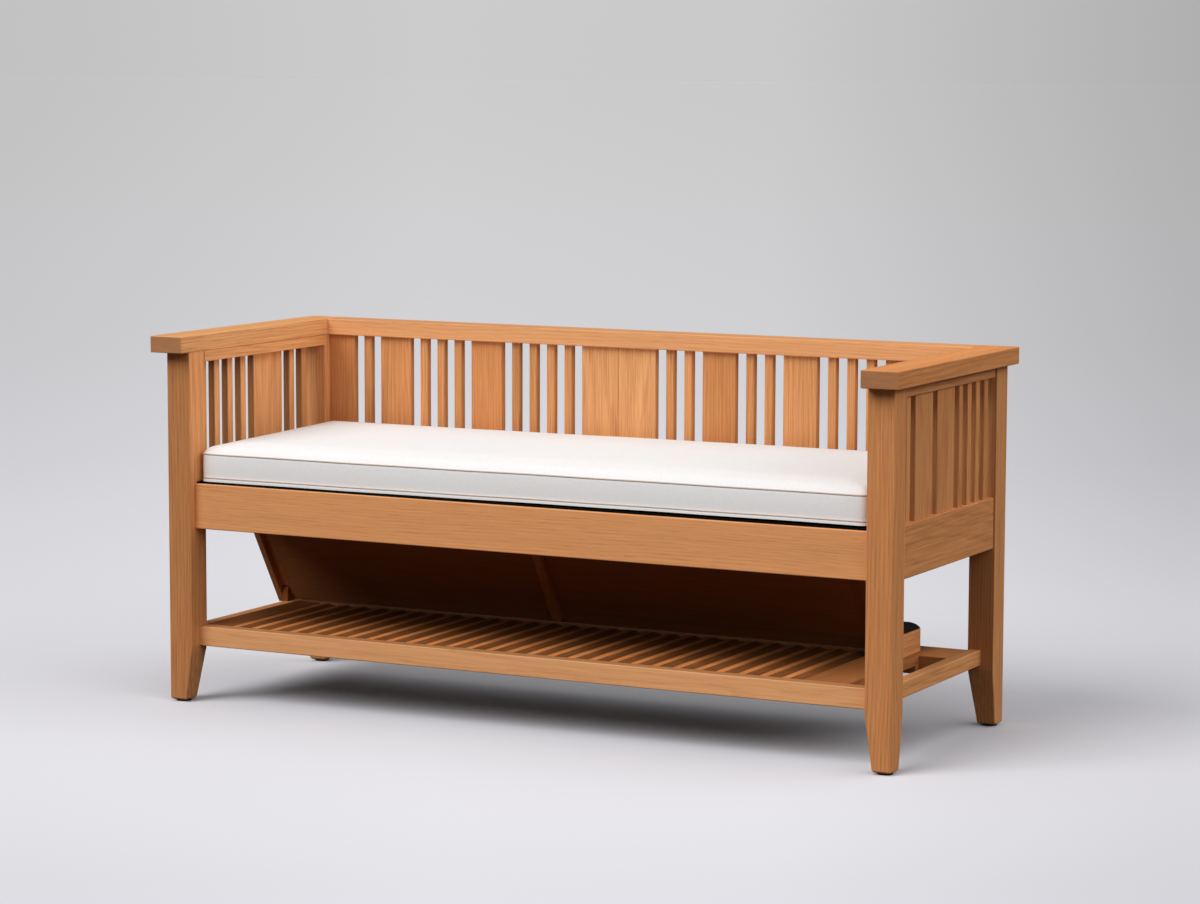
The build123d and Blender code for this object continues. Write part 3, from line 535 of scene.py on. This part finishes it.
def cushion_mesh(low, high):
    """The cushion's cover before it is filled, with its outline at the bottom and both seams.

    It has a top, a boxing strip and a bottom, with rows along both seams.
    """
    centre = ((low + high) / 2).to_2d()
    half = ((high - low) / 2).to_2d()
    floor = low.z
    xs = stations(half.x)
    ys = stations(half.y)
    nx = len(xs) - 1
    ny = len(ys) - 1
    plane = np.array([(x, y) for y in ys for x in xs])
    flat = rounded(plane, half, CUSHION_CORNER)
    edge = np.minimum(half.x - np.abs(plane[:, 0]), half.y - np.abs(plane[:, 1]))
    # The crown rises towards the rear, and the whole edge a little towards the right, in slow waves
    depth = (plane[:, 1] + half.y) / (2 * half.y)
    shoulder = (SHOULDER + REAR_RISE * depth) * (1 - np.exp(-edge / SHOULDER_REACH))
    dome = DOME * (1 - np.exp(-edge / DOME_REACH))
    lift = RIGHT_RISE * np.clip((plane[:, 0] - RIGHT_RISE_START) / RIGHT_RISE_RUN, 0, 1)
    waves = np.sin(SEAM_WAVE_SHORT * plane[:, 0] + 1) * np.cos(SEAM_WAVE_LONG * plane[:, 0])
    lift += SEAM_WAVE * (1 + waves)
    top = floor + SEAM_HIGH + shoulder + dome + lift
    tuck = lift * np.exp(-edge / TUCK_REACH)
    verts = [(x + centre.x, y + centre.y, z) for (x, y), z in zip(flat, top)]
    count = len(verts)
    grow_x = 1 + BOTTOM_FLARE / half.x
    grow_y = 1 + BOTTOM_FLARE / half.y
    for (x, y), rise in zip(flat, tuck):
        verts.append((x * grow_x + centre.x, y * grow_y + centre.y, floor + rise))
    faces = []
    row = nx + 1
    for j in range(ny):
        for i in range(nx):
            a = j * row + i
            faces.append((a, a + 1, a + row + 1, a + row))
            faces.append((count + a, count + a + row, count + a + row + 1, count + a + 1))
    ring = list(range(row))
    ring += [j * row + nx for j in range(1, ny + 1)]
    ring += [ny * row + i for i in range(nx - 1, -1, -1)]
    ring += [j * row for j in range(ny - 1, 0, -1)]
    levels = list(LOW_ROWS)
    for k in range(1, BOXING_ROWS):
        share = k / BOXING_ROWS
        bow = BOXING_BOW * math.sin(math.pi * share)
        levels.append((SEAM_LOW + share * (SEAM_HIGH - SEAM_LOW), bow))
    rows = [[count + i for i in ring]]
    for level, bow in levels:
        start = len(verts)
        for i in ring:
            x, y = flat[i]
            near_x, near_y = half.x - abs(x) < EDGE_BAND, half.y - abs(y) < EDGE_BAND
            out = Vector((np.sign(x) * near_x, np.sign(y) * near_y)).normalized()
            place = (x + centre.x + bow * out.x, y + centre.y + bow * out.y)
            verts.append((*place, floor + level + lift[i]))
        rows.append(list(range(start, start + len(ring))))
    rows.append(ring)
    for lower, upper in zip(rows, rows[1:]):
        for k in range(len(ring)):
            n = (k + 1) % len(ring)
            faces.append((lower[k], lower[n], upper[n], upper[k]))
    mesh = bpy.data.meshes.new("cushion_cover")
    mesh.from_pydata(verts, [], faces)
    mesh.update()
    # The lower edge of the boxing is a crease
    outline = set(rows[0])
    for edge_line in mesh.edges:
        edge_line.use_edge_sharp = outline.issuperset(edge_line.vertices)
    return mesh, rows[0], [rows[len(LOW_ROWS)], rows[-1]]


def swell(cushion, outline, seams):
    """Fills the cover with air in the cloth solver, its seams held, with small even moves."""
    before = np.array([v.co for v in cushion.data.vertices])
    held = cushion.vertex_groups.new(name="seams")
    held.add(outline + [i for seam in seams for i in seam], 1.0, "REPLACE")
    cloth = cushion.modifiers.new("cloth", "CLOTH")
    settings = cloth.settings
    settings.quality = 6
    settings.mass = 0.25
    settings.tension_stiffness = 18
    settings.compression_stiffness = 12
    settings.shear_stiffness = 8
    settings.bending_stiffness = 0.6
    settings.use_pressure = True
    settings.uniform_pressure_force = 1.6
    settings.vertex_group_mass = "seams"
    settings.effector_weights.gravity = 0
    cloth.collision_settings.use_collision = False
    for step in range(1, FILLING_STEPS + 1):
        scene.frame_set(step)
    graph = bpy.context.evaluated_depsgraph_get()
    filled = np.array([v.co for v in cushion.evaluated_get(graph).data.vertices])
    cushion.modifiers.remove(cloth)
    scene.frame_set(1)
    move = filled - before
    # The thick filling evens out small ripples of the cover
    ends = np.array([e.vertices[:] for e in cushion.data.edges])
    neighbours = np.bincount(ends.ravel(), minlength=len(move))[:, None]
    for _ in range(EVEN_STEPS):
        total = np.zeros_like(move)
        np.add.at(total, ends[:, 0], move[ends[:, 1]])
        np.add.at(total, ends[:, 1], move[ends[:, 0]])
        move = (move + total / neighbours) / 2
    length = np.linalg.norm(move, axis=1, keepdims=True)
    above = before[:, 2:] > before[seams[1], 2].max()
    cap = np.where(above, SWELL_CAP, BOXING_CAP)
    move *= cap * np.tanh(length / cap) / np.maximum(length, TINY)
    after = before + move
    after[:, 2] = np.maximum(after[:, 2], before[:, 2].min())
    cushion.data.vertices.foreach_set("co", after.astype(np.float32).ravel())
    cushion.data.update()


def smooth(piece):
    for polygon in piece.data.polygons:
        polygon.use_smooth = True


def welt(name, points, material):
    """A piped seam: a thin closed tube along the seam's own points."""
    curve = bpy.data.curves.new(name, "CURVE")
    curve.dimensions = "3D"
    curve.bevel_depth = WELT_RADIUS
    curve.bevel_resolution = 3
    spline = curve.splines.new("POLY")
    spline.points.add(len(points) - 1)
    for point, place in zip(spline.points, points):
        point.co = (*place, 1.0)
    spline.use_cyclic_u = True
    tube = add(name + "_line", curve)
    graph = bpy.context.evaluated_depsgraph_get()
    mesh = bpy.data.meshes.new_from_object(tube.evaluated_get(graph))
    bpy.data.objects.remove(tube)
    mesh.materials.clear()
    mesh.materials.append(material)
    piece = add(name, mesh)
    smooth(piece)
    return piece


def make_cushion():
    """The filled cushion and its two lines of piping, in place of the CAD solid."""
    low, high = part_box("cushion")
    low.x, high.x = low.x - REACH_LEFT, high.x - SHORT_RIGHT
    high.y += REACH_REAR
    mesh, outline, seams = cushion_mesh(low, high)
    cushion = add("seat_cushion", mesh)
    mesh.materials.append(canvas("white_canvas", CANVAS_WHITE, CANVAS_WEAVE))
    swell(cushion, outline, seams)
    smooth(cushion)
    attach(cushion, "cushion_body")
    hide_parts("cushion")
    piping = canvas("beige_piping", PIPING_BEIGE, PIPING_WEAVE)
    for name, seam in zip(("piping_bottom", "piping_top"), seams):
        tube = welt(name, [cushion.data.vertices[i].co for i in seam], piping)
        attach(tube, "cushion_body")


# Floor: painted light; its brightness runs from the near floor to the far backdrop, and falls away
# to the sides, as the light falls off.
# Each row holds one over the distance from the camera's place in metres, and a grey. The scales
# bring such values and the directions to the sides into the range of a ramp.
FLOOR_ROWS = ((0.012, 0.602), (0.071, 0.634), (0.144, 0.770), (0.170, 0.832), (0.207, 0.745))
ROW_SCALE = 4.0
SIDES = ((-0.17, 0.89), (-0.05, 1.0), (0.05, 0.97), (0.17, 0.72))
SIDE_SCALE = 2.0
# How the shade towards the sides fades, and the tint, both by nearness times its scale
FADE_STOPS = ((0.40, 0.0), (0.55, 0.3), (0.75, 0.5))
TINT_STOPS = ((0.05, (0.97, 0.96, 0.965, 1)), (0.45, (0.985, 0.98, 1.035, 1)))
NEAREST = 3.0
FLOOR_BOUNCE = 0.12
FLOOR_ROUGHNESS = 0.9
FLOOR_HALF_SIDE = 120.0
BACKDROP = (0.612, 0.612 * 0.985, 0.612 * 0.995, 1)
# Light of the world by height, and the broad light from the right by direction and by height
SKY_ROWS = ((0.0, 0.01), (0.25, 0.02), (0.5, 0.11), (0.75, 0.49), (1.0, 0.62))
SKY_RIGHT = 1.85
SKY_RIGHT_SIDES = ((0.12, 0.0), (0.75, 1.0))
SKY_RIGHT_ROWS = ((0.16, 0.0), (0.34, 1.0), (0.55, 1.0), (0.75, 0.1))
KEY_TOWARDS = (-0.34, -0.65, 0.68)
KEY_STRENGTH = 2.15
KEY_ANGLE = 42


def side_shade(g, across, ahead):
    """The painted shade of the backdrop and floor from left to right, as the light falls off to
    the sides, by the direction in which a place lies.
    """
    side = g.plus(g.times(g.math("DIVIDE", across, ahead), SIDE_SCALE), 0.5)
    return g.ramp(side, [(0.5 + SIDE_SCALE * t, c) for t, c in SIDES])


def make_floor():
    """A pale floor with painted shade: a little darker far away and to the right, as the light
    falls off there.
    """
    g = Graph("studio_floor")
    angle = math.radians(CAMERA_YAW)
    x, y = CAMERA_PLACE[:2]
    across = -(x * math.cos(angle) + y * math.sin(angle))
    ahead = -(-x * math.sin(angle) + y * math.cos(angle))
    places = g.split(g.mapping((1, 1, 1), (across, ahead, 0), (0, 0, -angle)))
    depth = g.math("MAXIMUM", places["Y"], NEAREST)
    nearness = g.times(g.math("DIVIDE", 1.0, depth), ROW_SCALE)
    rows = g.ramp(nearness, [(r * ROW_SCALE, c) for r, c in FLOOR_ROWS])
    sides = g.mix(g.ramp(nearness, FADE_STOPS), side_shade(g, places["X"], depth), (1, 1, 1, 1))
    tint = g.shade(g.shade(rows, sides), g.ramp(nearness, TINT_STOPS))
    # Only the camera sees the full brightness; less light goes back up from the floor
    path = g.nodes.new("ShaderNodeLightPath")
    dim = g.shade(tint, (FLOOR_BOUNCE, FLOOR_BOUNCE, FLOOR_BOUNCE, 1))
    tint = g.mix(path.outputs["Is Camera Ray"], dim, tint)
    mesh = bpy.data.meshes.new("floor")
    side = FLOOR_HALF_SIDE
    corners = [(-side, -side, 0), (side, -side, 0), (side, side, 0), (-side, side, 0)]
    mesh.from_pydata(corners, [], [(0, 1, 2, 3)])
    mesh.materials.append(g.finish(tint, FLOOR_ROUGHNESS, None, Specular_IOR_Level=0.0))
    floor = add("floor", mesh)


def make_world():
    """Light from above and from the right, and the backdrop's grey, with painted shade to the
    sides, where the camera sees it.
    """
    g = Graph("studio", world=True)
    scene.world = g.data
    x, y, z = g.split(g.coords.outputs["Generated"])
    overhead = g.ramp(z, SKY_ROWS)
    right = g.times(g.ramp(x, SKY_RIGHT_SIDES), SKY_RIGHT)
    right = g.shade(right, g.ramp(z, SKY_RIGHT_ROWS))
    g.put(g.mix(1.0, overhead, right, "ADD"), g.shader.inputs["Color"])
    # What the camera sees past the end of the floor
    angle = math.radians(CAMERA_YAW)
    sine, cosine = math.sin(angle), math.cos(angle)
    across = g.plus(g.times(x, cosine), g.times(y, sine))
    ahead = g.math("SUBTRACT", g.times(y, cosine), g.times(x, sine))
    seen = g.nodes.new("ShaderNodeBackground")
    g.put(g.shade(side_shade(g, across, ahead), BACKDROP), seen.inputs["Color"])
    path = g.nodes.new("ShaderNodeLightPath").outputs
    looked_at = g.math("MAXIMUM", path["Is Camera Ray"], path["Is Transmission Ray"])
    mix = g.nodes.new("ShaderNodeMixShader")
    g.link(looked_at, mix.inputs["Fac"])
    g.link(g.shader.outputs[0], mix.inputs[1])
    g.link(seen.outputs[0], mix.inputs[2])
    g.link(mix.outputs[0], g.nodes["World Output"].inputs["Surface"])


def make_key():
    """An even soft light from the front left."""
    data = bpy.data.lights.new("key", "SUN")
    data.energy = KEY_STRENGTH
    data.angle = math.radians(KEY_ANGLE)
    add("key", data).rotation_euler = Vector(KEY_TOWARDS).to_track_quat("Z", "Y").to_euler()


def make_camera():
    data = bpy.data.cameras.new("camera")
    data.sensor_width = SENSOR_WIDTH
    data.sensor_fit = "HORIZONTAL"
    data.lens = CAMERA_LENS_PIXELS * SENSOR_WIDTH / IMAGE_WIDTH_PIXELS
    data.clip_end = CAMERA_CLIP_END
    camera = add("camera", data)
    turn = Matrix.Rotation(math.radians(CAMERA_YAW), 4, "Z")
    tilt = Matrix.Rotation(math.radians(90 + CAMERA_PITCH), 4, "X")
    roll = Matrix.Rotation(math.radians(CAMERA_ROLL), 4, "Z")
    camera.matrix_world = Matrix.Translation(CAMERA_PLACE) @ turn @ tilt @ roll
    scene.camera = camera


paint_frame()
make_cushion()
make_floor()
make_world()
make_key()
make_camera()
scene.view_settings.view_transform = "Standard"
